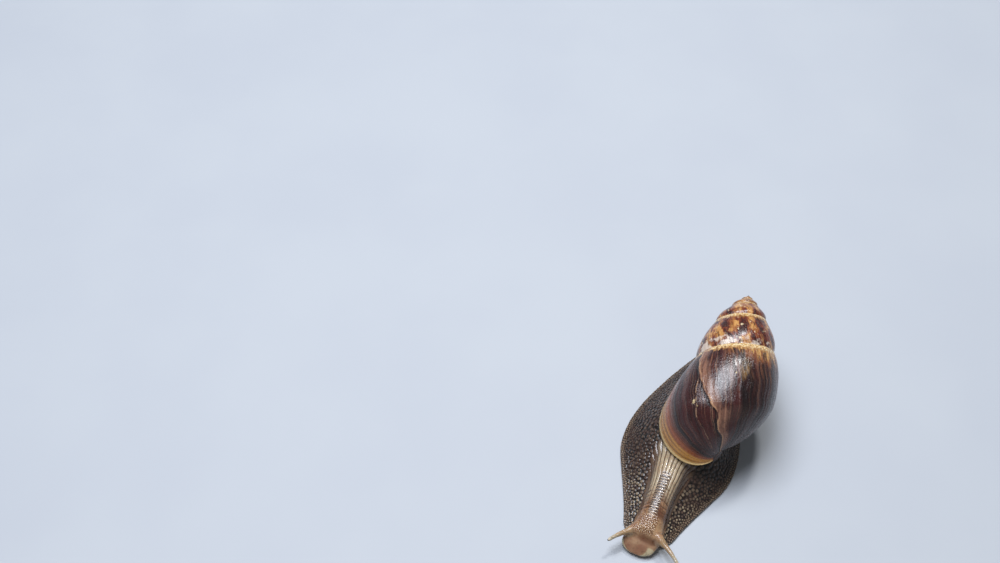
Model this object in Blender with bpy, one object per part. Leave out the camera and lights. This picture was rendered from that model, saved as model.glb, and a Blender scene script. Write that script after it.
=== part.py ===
"""A giant african land snail, life size, crawling: shell, extended body, tentacles and eyes.

Metres, +Z up. The head points to -Y, the tail to +Y and the sole lies flat on Z = 0. Sizes below
are in millimetres and are turned to metres where the meshes are made. The whole body is modelled
first and then parted by thin cuts, so that its nodes meet face to face with a small gap.
"""
import math

import bmesh
import bpy
import numpy as np
from mathutils import Matrix, Vector

MM = 0.001
NAME = "giant_african_land_snail"

# The gap that touching pieces keep, and the width of the thin cuts that part the body.
GAP = 0.3

# Shell: a right-handed spire of five turns. Distances are measured down the axis from the tip.
SHELL_TURNS = 5
SHELL_COLUMNS_PER_TURN = 30
SHELL_TIP = Vector((5.8, 115.7, 38.0))
SHELL_YAW = 8.5            # degrees: the tip swings to the animal's right
SHELL_RISE = 13.0          # degrees: the tip is carried higher than the base
SHELL_BASE = 77.9          # where the pillar's end lies at the lip
SHELL_PILLAR_RADIUS = 2.0
PILLAR_SLANT = 12.3        # how much higher the pillar's end lies one turn before the lip
PILLAR_END_HOLLOW = 1.0    # depth of the dimple in the pillar's end
SHELL_WALL = 1.0           # thickness of the shell at its lip
SPIRE_RADIUS = 19.35       # radius that the spire's outline tends to
SPIRE_BLUNTNESS = 17.4     # distance over which the outline widens
WIDEST_AT_LIP = 64.8       # how far down the axis the lip is widest
LIP_FLARE = 8.5            # how much the last part of the last turn opens out
LIP_FLARE_TURNS = 0.12
LIP_ANGLE = 105.0          # degrees from the top of the shell, round the animal's right side
MOUTH_DEPTH_TURNS = 0.075  # how far back into the last turn the open mouth reaches
MOUTH_OVERRUN = -0.02      # turns past the lip that the mouth's cutter runs
COLLAR_GAP_TURNS = 0.005   # the collar stops this much short of the mouth's bottom
WHORL_SHRINK = 0.92        # how fast each turn's widest line climbs, as a power of e per turn
LAST_TURN_STRETCH = 0.6    # the last turns climb more slowly than that, so the last is the longest
LAST_TURN_STRETCH_TURNS = 1.1

# Profile of a turn, as (radius, distance down) directions that its curve leaves and meets.
SHOULDER_START = np.array([0.49, 0.8])
SHOULDER_END = np.array([-0.16, 1.0])
BASE_END_TILT = 0.54       # how steeply the base meets the pillar away from the lip
BASE_LIP_TILT = 1.45       # less of that at the lip, where the base is cut off round
BASE_ROUND_TURNS = 0.33
BASE_START_PULL = (0.68, 0.55)   # pull of the base's curve at each end: all along, more at the lip
BASE_END_PULL = (0.51, 0.41)
UPPER_POINTS = 7
LOWER_POINTS = 10

# Body stations: place along the body, then half width and height of the foot's back.
FOOT_STATIONS = [
    (3.0, 3.0, 2.6), (5.0, 8.2, 3.6), (9.0, 10.8, 4.8), (14.0, 12.4, 5.8), (22.0, 15.6, 7.2),
    (32.0, 20.0, 9.6), (42.0, 24.0, 13.6), (52.0, 25.0, 17.0), (64.0, 23.4, 17.0),
    (78.0, 18.8, 13.0), (92.0, 12.8, 8.6), (103.0, 7.2, 5.4), (109.0, 3.6, 3.2),
    (111.5, 1.2, 1.6),
]
FOOT_EDGE = 1.3            # thickness of the thin skirt round the sole
FOOT_EDGE_BULGE = 1.01     # the skirt's edge stands out a little, and the sole is drawn in
SOLE_INSET = 0.5
FOOT_POINTS = 9            # points from the middle of the back to the edge
FOOT_FLATNESS = (2.2, 1.5) # powers that shape the back between the middle and the edge
FOOT_RING_STEP = 3.6

# Neck and head stations: place, height of the middle, half width, half height.
NECK_STATIONS = [
    (-3.0, 1.6, 2.0, 0.5), (-2.4, 1.9, 4.0, 0.9), (-1.1, 2.4, 6.3, 1.5), (0.5, 3.1, 7.4, 2.1),
    (2.6, 3.9, 7.8, 2.7), (4.2, 4.7, 7.6, 3.5), (6.0, 5.4, 6.9, 4.3), (9.4, 6.1, 6.1, 5.0),
    (14.5, 6.6, 5.7, 5.4), (20.4, 7.2, 5.7, 5.7), (27.3, 8.1, 6.1, 6.1), (34.2, 8.8, 7.2, 5.9),
    (42.4, 8.7, 8.6, 5.2), (50.3, 9.4, 9.0, 5.4), (58.0, 9.0, 8.0, 4.6),
]
NECK_SIDES = 20
HEAD_SHIFT = -1.7          # the lobe is carried slightly to the animal's right
RING_STEP = 2.6            # spacing of the rings, closer together on the head

# Where the thin cuts part the body.
LIPS_BACK = 1.2
HEAD_BACK = 9.0
NECK_BACK = 35.0
TAIL_FRONT = 80.0
FOOT_TOP = 3.6
FOOT_FRONT = 4.0
FAR = 300.0                # past the end of the animal in any direction
STALK_TURNS = 0.09         # the stalk of flesh reaches this part of a turn outside the lip
COLLAR_PROUD = 0.6         # how far the mantle's collar stands out of the mouth
COLLAR_ZONE_START = 20.0   # the mouth lies between these distances from the shell's tip
COLLAR_ZONE_END = 77.2

# Upper tentacles: root and tip, then radius along each from root to tip.
UPPER_ROOT = {"left": Vector((4.8, 5.4, 6.3)), "right": Vector((-5.2, 5.2, 6.3))}
UPPER_TIP = {"left": Vector((15.8, -2.2, 6.6)), "right": Vector((-13.1, -4.0, 7.6))}
UPPER_SAG = {"left": Vector((0.3, 0.3, 0.5)), "right": Vector((-0.2, 0.3, 0.5))}
UPPER_RADII = [(0.0, 2.7), (0.14, 2.2), (0.3, 1.6), (0.5, 1.12), (0.75, 0.82), (0.86, 0.76),
               (0.94, 0.84), (1.0, 0.7)]
LOWER_ROOT = Vector((5.2, 1.0, 2.4))
LOWER_TIP = Vector((5.5, -1.2, 1.0))
LOWER_SAG = Vector((0.0, 0.0, 0.3))
LOWER_RADII = [(0.0, 1.15), (0.4, 0.85), (0.8, 0.6), (1.0, 0.45)]
TENTACLE_POINTS = 12
EYE_RADIUS = 0.42
EYE_AHEAD = 0.35           # part of its radius that the eye's middle lies past the feeler's tip
EYE_GAP = 0.24
EYE_RINGS = 8

# Material: sRGB colour and roughness. Nothing on the animal is metal.
FINISHES = {
    "shell": ("#5a2c1c", 0.25),
    "mantle_collar": ("#a98a68", 0.4),
    "foot": ("#43302a", 0.5),
    "trunk": ("#3f2e28", 0.5),
    "tail": ("#43302a", 0.5),
    "neck": ("#b59872", 0.4),
    "head": ("#a9794c", 0.4),
    "lips": ("#a07850", 0.4),
    "eye": ("#15100e", 0.15),
}


def clear_scene():
    for thing in list(bpy.data.objects):
        bpy.data.objects.remove(thing, do_unlink=True)


def new_collection(name):
    group = bpy.data.collections.new(name)
    bpy.context.scene.collection.children.link(group)
    return group


def linear(hex_colour):
    """An sRGB hex colour as the linear values that a shader takes."""
    values = [int(hex_colour[i:i + 2], 16) / 255 for i in (1, 3, 5)]
    return [v / 12.92 if v <= 0.04045 else ((v + 0.055) / 1.055) ** 2.4 for v in values] + [1.0]


def give_material(thing, finish):
    colour, roughness = finish
    material = bpy.data.materials.new(thing.name)
    material.use_nodes = True
    shader = material.node_tree.nodes["Principled BSDF"]
    shader.inputs["Base Color"].default_value = linear(colour)
    shader.inputs["Roughness"].default_value = roughness
    shader.inputs["Metallic"].default_value = 0.0
    thing.data.materials.clear()
    thing.data.materials.append(material)


def new_object(name, points, faces, group):
    """A mesh object from points in millimetres."""
    mesh = bpy.data.meshes.new(name)
    mesh.from_pydata([tuple(Vector(p) * MM) for p in points], [], faces)
    mesh.validate()
    turn_outwards(mesh)
    thing = bpy.data.objects.new(name, mesh)
    group.objects.link(thing)
    return thing


def turn_outwards(mesh):
    work = bmesh.new()
    work.from_mesh(mesh)
    bmesh.ops.remove_doubles(work, verts=work.verts, dist=0.00001)
    bmesh.ops.recalc_face_normals(work, faces=work.faces)
    work.to_mesh(mesh)
    work.free()


def mark_as_cutter(thing):
    thing.hide_render = True
    thing.display_type = "WIRE"
    return thing


def combine(thing, other, operation):
    """Boolean of two objects, kept in the first one's mesh."""
    step = thing.modifiers.new(operation, "BOOLEAN")
    step.operation = operation
    step.solver = "EXACT"
    step.object = other
    evaluated = thing.evaluated_get(bpy.context.evaluated_depsgraph_get())
    mesh = bpy.data.meshes.new_from_object(evaluated)
    thing.modifiers.clear()
    thing.data = mesh
    return thing


def copy_of(thing, name, group):
    twin = bpy.data.objects.new(name, thing.data.copy())
    twin.matrix_world = thing.matrix_world
    group.objects.link(twin)
    return twin


def bridge(rings):
    """Faces between like rings, with the first and last ring filled by a fan."""
    count = len(rings[0])
    points = [p for ring in rings for p in ring]
    faces = []
    for r in range(len(rings) - 1):
        for i in range(count):
            j = (i + 1) % count
            faces.append((r * count + i, r * count + j, (r + 1) * count + j, (r + 1) * count + i))
    for ring, start in ((rings[0], 0), (rings[-1], (len(rings) - 1) * count)):
        centre = sum((Vector(p) for p in ring), Vector()) / count
        points.append(centre)
        for i in range(count):
            faces.append((start + i, start + (i + 1) % count, len(points) - 1))
    return points, faces


def along(stations, place):
    """The stations' values at a place, on a smooth curve through them."""
    table = np.array(stations, dtype=float)
    places = table[:, 0]
    slopes = np.gradient(table[:, 1:], places, axis=0)
    k = int(np.clip(np.searchsorted(places, place) - 1, 0, len(places) - 2))
    width = places[k + 1] - places[k]
    t = (place - places[k]) / width
    return (table[k, 1:] * (2 * t ** 3 - 3 * t ** 2 + 1)
            + slopes[k] * width * (t ** 3 - 2 * t ** 2 + t)
            + table[k + 1, 1:] * (3 * t ** 2 - 2 * t ** 3)
            + slopes[k + 1] * width * (t ** 3 - t ** 2))


# ---------------------------------------------------------------- shell

def hermite(start, start_slope, end, end_slope, count):
    t = np.linspace(0.0, 1.0, count)[:, None]
    return ((2 * t ** 3 - 3 * t ** 2 + 1) * start + (t ** 3 - 2 * t ** 2 + t) * start_slope
            + (3 * t ** 2 - 2 * t ** 3) * end + (t ** 3 - t ** 2) * end_slope)


def widest(back):
    """Radius and distance from the tip of the whorl's widest line, so many turns before the lip.

    The next turn is laid on this line, so it is also the suture one turn later."""
    stretch = LAST_TURN_STRETCH * (1 - math.exp(-back / LAST_TURN_STRETCH_TURNS))
    down = WIDEST_AT_LIP * math.exp(stretch - WHORL_SHRINK * back)
    radius = SPIRE_RADIUS * (1 - math.exp(-down / SPIRE_BLUNTNESS))
    return np.array([radius + LIP_FLARE * math.exp(-back / LIP_FLARE_TURNS), down])


def upper_curve(back):
    """From the suture down to the widest line: a gently rounded shoulder."""
    suture = widest(back + 1)
    edge = widest(back)
    length = np.linalg.norm(edge - suture)
    return hermite(suture, SHOULDER_START * length, edge, SHOULDER_END * length, UPPER_POINTS)


def lower_curve(back, count=LOWER_POINTS):
    """From the widest line in to the pillar, only on the last turn."""
    edge = widest(back)
    end = np.array([SHELL_PILLAR_RADIUS, SHELL_BASE - PILLAR_SLANT * back])
    length = np.linalg.norm(end - edge)
    rounding = math.exp(-back / BASE_ROUND_TURNS)
    leave = SHOULDER_END * length * (BASE_START_PULL[0] + BASE_START_PULL[1] * rounding)
    tilt = BASE_END_TILT - BASE_LIP_TILT * rounding
    arrive = np.array([-1.0, tilt]) * length * (BASE_END_PULL[0] + BASE_END_PULL[1] * rounding)
    return hermite(edge, leave, end, arrive, count)


def shell_point(profile, back):
    """A point of a profile in the shell's own frame: Z runs down the axis, X is the top side."""
    angle = math.radians(LIP_ANGLE) - 2 * math.pi * back
    radius, down = profile
    return (radius * math.cos(angle), radius * math.sin(angle), down)


def swollen(curve, by):
    """A profile moved outwards along its normals."""
    if not by:
        return curve
    slope = np.gradient(curve, axis=0)
    normal = np.stack([slope[:, 1], -slope[:, 0]], axis=1)
    normal /= np.linalg.norm(normal, axis=1)[:, None]
    return curve + normal * by


def shell_profiles():
    """The profile at each column, from the tip to the lip: only the last turn has its base."""
    profiles = []
    total = SHELL_TURNS * SHELL_COLUMNS_PER_TURN
    for column in range(total + 1):
        back = (total - column) / SHELL_COLUMNS_PER_TURN
        curve = upper_curve(back)
        if column >= total - SHELL_COLUMNS_PER_TURN:
            curve = np.vstack([curve, lower_curve(back)[1:]])
        profiles.append((back, curve))
    return profiles


def make_shell_outside(name, group, swell=0.0):
    """The outer surface of the whole spire as one closed solid, its mouth a flat face."""
    points = []
    columns = []
    for back, curve in shell_profiles():
        start = len(points)
        for radius, down in swollen(curve, swell):
            ahead = swell / (2 * math.pi * max(radius, SHELL_PILLAR_RADIUS)) if back == 0 else 0.0
            points.append(shell_point((radius, down), back - ahead))
        columns.append(list(range(start, len(points))))
    faces = []
    for here, after in zip(columns, columns[1:]):
        for i in range(min(len(here), len(after)) - 1):
            faces.append((here[i], here[i + 1], after[i + 1], after[i]))
    turn = SHELL_COLUMNS_PER_TURN
    shoulder = len(columns[0])
    last = columns[-1]
    parting = columns[-1 - turn]
    tip = len(points)
    points.append((0.0, 0.0, -swell))
    for here, after in zip(columns[:turn], columns[1:turn + 1]):
        faces.append((tip, here[0], after[0]))
    for i in range(shoulder - 1):
        faces.append((tip, columns[0][i + 1], columns[0][i]))
    end = len(points)
    points.append((0.0, 0.0, SHELL_BASE - PILLAR_END_HOLLOW + swell))
    pillar = [column[-1] for column in columns[-1 - turn:]]
    for here, after in zip(pillar, pillar[1:]):
        faces.append((end, after, here))
    faces.append(tuple(last) + (end,) + tuple(reversed(parting[shoulder - 1:])))
    points, faces = weld_turns(points, faces, columns, turn, shoulder)
    shell = new_object(name, points, faces, group)
    place_shell(shell)
    return shell


def weld_turns(points, faces, columns, turn, shoulder):
    """Each suture point becomes the widest point of one turn earlier, so the turns share edges."""
    same = {}
    for here, after in zip(columns, columns[turn:]):
        same[after[0]] = here[shoulder - 1]
    joined = []
    for face in faces:
        corners = []
        for corner in face:
            corner = same.get(corner, corner)
            if not corners or corners[-1] != corner:
                corners.append(corner)
        if corners[0] == corners[-1]:
            corners.pop()
        if len(corners) > 2:
            joined.append(tuple(corners))
    return points, joined


def place_shell(thing):
    """Tip and tilt of the shell on the animal's back."""
    yaw = math.radians(SHELL_YAW)
    rise = math.radians(SHELL_RISE)
    down_axis = Vector((math.sin(yaw) * math.cos(rise), -math.cos(yaw) * math.cos(rise),
                        -math.sin(rise)))
    right_side = Vector((-math.cos(yaw), -math.sin(yaw), 0.0))
    top = right_side.cross(down_axis)
    turn = Matrix((top, right_side, down_axis)).transposed().to_4x4()
    thing.matrix_world = Matrix.Translation(SHELL_TIP * MM) @ turn


def draw_in_ends(curve, inset):
    """Shortens a curve by the same distance at both ends."""
    shorter = curve.copy()
    for end, beside in ((0, 1), (-1, -2)):
        way = curve[beside] - curve[end]
        shorter[end] = curve[end] + way * min(0.8, inset / np.linalg.norm(way))
    return shorter


def mouth_section(back, inset):
    """The crescent between the last turn and the one before it, drawn in by a wall's thickness."""
    out_back = max(back, 0.0)
    outer = np.vstack([upper_curve(out_back), lower_curve(out_back)[1:]])
    inner_low = lower_curve(back + 1.0, len(outer))
    across = inner_low - outer
    width = np.linalg.norm(across, axis=1)[:, None]
    across /= np.maximum(width, 1e-6)
    step = np.minimum(inset, width * 0.4)
    first, last = 3, len(outer) - 2
    outer = draw_in_ends((outer + across * step)[first:last], inset)
    inner = draw_in_ends((inner_low - across * step)[first:last], inset)
    return [shell_point(p, back) for p in np.vstack([outer, inner[::-1]])]


def make_mouth_fill(name, group, inset, start, stop, count):
    """A solid that runs along the last turn's hollow, from inside the mouth to outside it."""
    rings = [mouth_section(back, inset) for back in np.linspace(start, stop, count)]
    thing = new_object(name, *bridge(rings), group)
    place_shell(thing)
    return thing


def make_shell(parts, cutters):
    shell = make_shell_outside("shell", parts)
    hollow = make_mouth_fill("shell_mouth", cutters, SHELL_WALL, MOUTH_DEPTH_TURNS, MOUTH_OVERRUN, 8)
    combine(shell, mark_as_cutter(hollow), "DIFFERENCE")
    give_material(shell, FINISHES["shell"])
    return shell


def make_shell_clearance(cutters):
    """The shell with the gap added all round, for cutting the body."""
    block = make_shell_outside("shell_clearance", cutters, GAP)
    depth = MOUTH_DEPTH_TURNS - COLLAR_GAP_TURNS
    hollow = make_mouth_fill("collar_hollow", cutters, SHELL_WALL + GAP, depth, MOUTH_OVERRUN, 8)
    combine(block, mark_as_cutter(hollow), "DIFFERENCE")
    return mark_as_cutter(block)


# ---------------------------------------------------------------- body

def ring_places(stations, step):
    """Places for rings: closer together where the stations are close."""
    places = []
    for (a, *_), (b, *_) in zip(stations, stations[1:]):
        count = max(1, round((b - a) / step))
        places += [a + (b - a) * i / count for i in range(count)]
    return places + [stations[-1][0]]


def foot_section(place):
    """Flat sole, thin skirt and low back."""
    half_width, height = along(FOOT_STATIONS, place)
    edge = min(FOOT_EDGE, height * 0.6)
    top = []
    for i in range(FOOT_POINTS):
        u = math.sin(0.5 * math.pi * i / (FOOT_POINTS - 1))
        rise = (1 - u ** FOOT_FLATNESS[0]) ** FOOT_FLATNESS[1]
        top.append((u * half_width, edge + (height - edge) * rise))
    side = top + [(half_width * FOOT_EDGE_BULGE, edge * 0.45), (half_width - SOLE_INSET, 0.0),
                  (half_width * 0.5, 0.0)]
    ring = [(x, place, z) for x, z in side]
    ring.append((0.0, place, 0.0))
    ring += [(-x, place, z) for x, z in reversed(side[1:])]
    return ring


def neck_section(place):
    """A rounded section that grows flatter towards the front of the head."""
    middle, half_width, half_height = along(NECK_STATIONS, place)
    shift = HEAD_SHIFT * min(1.0, max(0.0, (HEAD_BACK - place) / HEAD_BACK))
    ring = []
    for i in range(NECK_SIDES):
        angle = 2 * math.pi * i / NECK_SIDES
        ring.append((shift + half_width * math.cos(angle), place,
                     middle + half_height * math.sin(angle)))
    return ring


def make_body(group, clearance):
    """Foot, neck, head and the stalk that rises into the shell, as one solid."""
    foot = [foot_section(p) for p in ring_places(FOOT_STATIONS, FOOT_RING_STEP)]
    body = new_object("body", *bridge(foot), group)
    neck = [neck_section(p) for p in ring_places(NECK_STATIONS, RING_STEP)]
    combine(body, mark_as_cutter(new_object("body_neck", *bridge(neck), group)), "UNION")
    stalk = make_mouth_fill("body_stalk", group, SHELL_WALL, MOUTH_DEPTH_TURNS, -STALK_TURNS, 12)
    combine(body, mark_as_cutter(stalk), "UNION")
    combine(body, clearance, "DIFFERENCE")
    return mark_as_cutter(body)


def make_slab(name, group, low, high):
    """A block between two corners, in millimetres."""
    size = [b - a for a, b in zip(low, high)]
    middle = [(a + b) / 2 for a, b in zip(low, high)]
    work = bmesh.new()
    bmesh.ops.create_cube(work, size=1.0)
    bmesh.ops.scale(work, vec=Vector(size) * MM, verts=work.verts)
    bmesh.ops.translate(work, vec=Vector(middle) * MM, verts=work.verts)
    mesh = bpy.data.meshes.new(name)
    work.to_mesh(mesh)
    work.free()
    block = bpy.data.objects.new(name, mesh)
    group.objects.link(block)
    return mark_as_cutter(block)


def cut_piece(name, body, parts, cutters, low, high, without=()):
    """The part of the body inside a block, less the other cutters."""
    piece = copy_of(body, name, parts)
    combine(piece, make_slab(name + "_zone", cutters, low, high), "INTERSECT")
    for cutter in without:
        combine(piece, cutter, "DIFFERENCE")
    give_material(piece, FINISHES[name])
    return piece


def make_collar_zone(name, cutters, low, high):
    """A block on one side of the lip's plane: Y runs out of the mouth, Z down the shell's axis."""
    block = make_slab(name, cutters, (-FAR, low, COLLAR_ZONE_START), (FAR, high, COLLAR_ZONE_END))
    turn = Matrix.Rotation(math.radians(LIP_ANGLE), 4, "Z")
    place_shell(block)
    block.matrix_world = block.matrix_world @ turn
    return block


def part_body(body, parts, cutters):
    """Cuts the body into the pieces a person would name."""
    half = GAP / 2
    top = FOOT_TOP + half
    foot_room = make_slab("foot_room", cutters, (-FAR, FOOT_FRONT - GAP, -FAR),
                          (FAR, TAIL_FRONT, top))
    collar_room = make_collar_zone("collar_room", cutters, -FAR, COLLAR_PROUD + GAP)
    cut_piece("lips", body, parts, cutters, (-FAR, -FAR, -FAR), (FAR, LIPS_BACK - half, FAR))
    cut_piece("head", body, parts, cutters, (-FAR, LIPS_BACK + half, -FAR),
              (FAR, HEAD_BACK - half, FAR), [foot_room])
    cut_piece("neck", body, parts, cutters, (-FAR, HEAD_BACK + half, top),
              (FAR, NECK_BACK - half, FAR))
    cut_piece("trunk", body, parts, cutters, (-FAR, NECK_BACK + half, top),
              (FAR, TAIL_FRONT - half, FAR), [collar_room])
    cut_piece("foot", body, parts, cutters, (-FAR, FOOT_FRONT, -FAR),
              (FAR, TAIL_FRONT - half, FOOT_TOP - half))
    cut_piece("tail", body, parts, cutters, (-FAR, TAIL_FRONT + half, -FAR), (FAR, FAR, FAR))
    collar = copy_of(body, "mantle_collar", parts)
    combine(collar, make_collar_zone("collar_zone", cutters, -FAR, COLLAR_PROUD), "INTERSECT")
    give_material(collar, FINISHES["mantle_collar"])


# ---------------------------------------------------------------- feelers and eyes

def make_feeler(name, group, root, tip, sag, radii, swell=0.0):
    """A tapered, slightly bowed rod from a curve, as a closed mesh."""
    curve = bpy.data.curves.new(name, "CURVE")
    curve.dimensions = "3D"
    curve.bevel_depth = MM
    curve.bevel_resolution = 2
    curve.use_fill_caps = True
    line = curve.splines.new("POLY")
    line.points.add(TENTACLE_POINTS - 1)
    for i, point in enumerate(line.points):
        t = i / (TENTACLE_POINTS - 1)
        place = root.lerp(tip, t) + sag * (4 * t * (1 - t))
        point.co = (*(place * MM), 1.0)
        point.radius = float(np.interp(t, *zip(*radii))) + swell
    rod = bpy.data.objects.new(name + "_curve", curve)
    group.objects.link(rod)
    evaluated = rod.evaluated_get(bpy.context.evaluated_depsgraph_get())
    mesh = bpy.data.meshes.new_from_object(evaluated)
    bpy.data.objects.remove(rod, do_unlink=True)
    turn_outwards(mesh)
    feeler = bpy.data.objects.new(name, mesh)
    group.objects.link(feeler)
    return feeler


def make_ball(name, group, centre, radius):
    work = bmesh.new()
    bmesh.ops.create_uvsphere(work, u_segments=EYE_RINGS + 4, v_segments=EYE_RINGS, radius=radius * MM)
    bmesh.ops.translate(work, vec=centre * MM, verts=work.verts)
    mesh = bpy.data.meshes.new(name)
    work.to_mesh(mesh)
    work.free()
    ball = bpy.data.objects.new(name, mesh)
    group.objects.link(ball)
    return ball


def make_upper_tentacle(side, body, parts, cutters):
    """The long feeler that carries the eye at its tip."""
    name = "upper_tentacle_" + side
    shape = (UPPER_ROOT[side], UPPER_TIP[side], UPPER_SAG[side], UPPER_RADII)
    feeler = make_feeler(name, parts, *shape)
    room = mark_as_cutter(make_feeler(name + "_room", cutters, *shape, GAP))
    combine(body, room, "DIFFERENCE")
    forwards = (UPPER_TIP[side] - UPPER_ROOT[side]).normalized()
    centre = UPPER_TIP[side] + forwards * (EYE_RADIUS * EYE_AHEAD)
    eye = make_ball("eye_" + side, parts, centre, EYE_RADIUS)
    socket = mark_as_cutter(make_ball("eye_room_" + side, cutters, centre, EYE_RADIUS + EYE_GAP))
    combine(feeler, socket, "DIFFERENCE")
    give_material(feeler, FINISHES["head"])
    give_material(eye, FINISHES["eye"])


def make_lower_tentacle(side, body, parts, cutters):
    """The short feeler at the corner of the lips."""
    name = "lower_tentacle_" + side
    mirror = Vector((1, 1, 1)) if side == "left" else Vector((-1, 1, 1))
    shift = Vector((HEAD_SHIFT, 0, 0))
    shape = (LOWER_ROOT * mirror + shift, LOWER_TIP * mirror + shift, LOWER_SAG, LOWER_RADII)
    feeler = make_feeler(name, parts, *shape)
    room = mark_as_cutter(make_feeler(name + "_room", cutters, *shape, GAP))
    combine(body, room, "DIFFERENCE")
    give_material(feeler, FINISHES["lips"])


def finish_parts(parts, cutters):
    """Shades the parts and stands them over the origin."""
    low = Vector((1.0, 1.0, 1.0))
    high = -low
    bpy.context.view_layer.update()
    for part in parts.objects:
        part.data.shade_smooth()
        part.data.set_sharp_from_angle(angle=math.radians(40))
        for corner in part.data.vertices:
            place = part.matrix_world @ corner.co
            low = Vector(map(min, low, place))
            high = Vector(map(max, high, place))
    stand = bpy.data.objects.new(NAME + "_stand_point", None)
    parts.objects.link(stand)
    for thing in list(parts.objects) + list(cutters.objects):
        if thing is not stand:
            thing.parent = stand
    stand.location = (-(low.x + high.x) / 2, -(low.y + high.y) / 2, -low.z)


def main():
    clear_scene()
    parts = new_collection(NAME)
    cutters = new_collection("cutters")
    make_shell(parts, cutters)
    body = make_body(cutters, make_shell_clearance(cutters))
    for side in ("left", "right"):
        make_upper_tentacle(side, body, parts, cutters)
        make_lower_tentacle(side, body, parts, cutters)
    part_body(body, parts, cutters)
    finish_parts(parts, cutters)


main()
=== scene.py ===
# %% [markdown]
# # A giant african land snail, life size
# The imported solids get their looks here: a finely grown shell, one unbroken moist skin over all the
# flesh, and two eyes. The solids could be dressed as they are, but their facets and seams would
# show, so new meshes from the same measures take their places. Lengths are in millimetres, in the
# snail's own axes: the head points to -Y, the tail to +Y, and the sole lies on Z = 0.

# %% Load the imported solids
import math

import bmesh
import bpy
import numpy as np
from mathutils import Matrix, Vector
from mathutils.bvhtree import BVHTree
from mathutils.kdtree import KDTree


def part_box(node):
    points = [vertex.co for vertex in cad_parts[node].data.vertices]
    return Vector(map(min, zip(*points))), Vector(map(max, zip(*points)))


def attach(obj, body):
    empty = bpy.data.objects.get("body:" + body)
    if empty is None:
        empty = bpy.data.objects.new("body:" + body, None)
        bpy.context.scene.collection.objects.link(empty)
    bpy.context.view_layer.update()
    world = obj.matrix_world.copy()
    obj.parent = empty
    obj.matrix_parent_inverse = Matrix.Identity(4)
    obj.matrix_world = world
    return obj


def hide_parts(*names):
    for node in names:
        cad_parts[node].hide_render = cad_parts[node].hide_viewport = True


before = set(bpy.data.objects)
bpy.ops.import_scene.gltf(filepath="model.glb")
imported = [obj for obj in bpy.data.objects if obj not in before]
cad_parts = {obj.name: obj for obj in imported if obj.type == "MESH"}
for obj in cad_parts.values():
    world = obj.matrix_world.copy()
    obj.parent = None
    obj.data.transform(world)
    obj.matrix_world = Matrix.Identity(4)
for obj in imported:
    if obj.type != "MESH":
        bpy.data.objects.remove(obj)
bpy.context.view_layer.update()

MM = 0.001

# %% [markdown]
# The body's own axes start on the foot's middle line, 3 mm behind the front of the lips. Places could
# be in the frame's axes, but this way they keep their numbers wherever the frame has its origin.

# %% The body's own axes
foot_low, foot_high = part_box("foot")
LIPS_AHEAD = 3.0
ORIGIN = np.array([(foot_low.x + foot_high.x) / 2 / MM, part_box("lips")[0].y / MM + LIPS_AHEAD, 0.0])
print("body origin in the frame, mm", ORIGIN.round(2))

# %% [markdown]
# ## The shell
# A snail lays its shell down at the lip, a little wider with each turn, so the spire is one profile
# swept round an axis while it grows. Spin and Screw keep their profile's size, so the mesh is laid
# out in numbers, by the same measures as the solid. Columns run from the tip to the lip, and the top
# of each turn is stitched to the widest line of the turn before, where a real suture lies.

# %% How the shell grows
TURNS = 5
PER_TURN = 400             # columns in a turn, about 0.45 mm apart at the lip
SHOULDER_ROWS = 24         # rows from the suture to the widest line
BASE_ROWS = 46             # rows from the widest line in to the pillar
SHELL_YAW = 8.5            # degrees that the spire points aside and up
SHELL_RISE = 13.0
SHELL_BASE = 77.9          # mm from the tip, along the axis, to the pillar's end
PILLAR_RADIUS = 2.0
PILLAR_SLANT = 12.3        # mm that the base draws back for each turn before the lip
PILLAR_END_HOLLOW = 1.0
SPIRE_RADIUS = 19.35
SPIRE_BLUNTNESS = 17.4
WIDEST_AT_LIP = 64.8
WHORL_SHRINK = 0.92
LAST_TURN_STRETCH = 0.6
LAST_TURN_STRETCH_TURNS = 1.1
LIP_FLARE = 8.5
LIP_FLARE_TURNS = 0.12
LIP_ANGLE = 105.0          # degrees round the axis where the lip stands
# Directions (radius, down) and pulls of the profile's curves where they start and end.
SHOULDER_START = np.array([0.49, 0.8])
SHOULDER_END = np.array([-0.16, 1.0])
BASE_END_TILT = 0.54
BASE_LIP_TILT = 1.45
BASE_ROUND_TURNS = 0.33
BASE_START_PULL = (0.68, 0.55)
BASE_END_PULL = (0.51, 0.41)


def hermite(start, leave, end, arrive, t):
    t = t[:, None]
    return ((2 * t ** 3 - 3 * t ** 2 + 1) * start + (t ** 3 - 2 * t ** 2 + t) * leave
            + (3 * t ** 2 - 2 * t ** 3) * end + (t ** 3 - t ** 2) * arrive)


def widest(back):
    """Radius and distance from the tip of the widest line, so many turns before the lip."""
    stretch = LAST_TURN_STRETCH * (1 - math.exp(-back / LAST_TURN_STRETCH_TURNS))
    down = WIDEST_AT_LIP * math.exp(stretch - WHORL_SHRINK * back)
    radius = SPIRE_RADIUS * (1 - math.exp(-down / SPIRE_BLUNTNESS))
    return np.array([radius + LIP_FLARE * math.exp(-back / LIP_FLARE_TURNS), down])


def shoulder(back, t=np.linspace(0, 1, SHOULDER_ROWS + 1)):
    """Profile from the suture out to the widest line."""
    suture = widest(back + 1)
    edge = widest(back)
    length = np.linalg.norm(edge - suture)
    return hermite(suture, SHOULDER_START * length, edge, SHOULDER_END * length, t)


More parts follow.
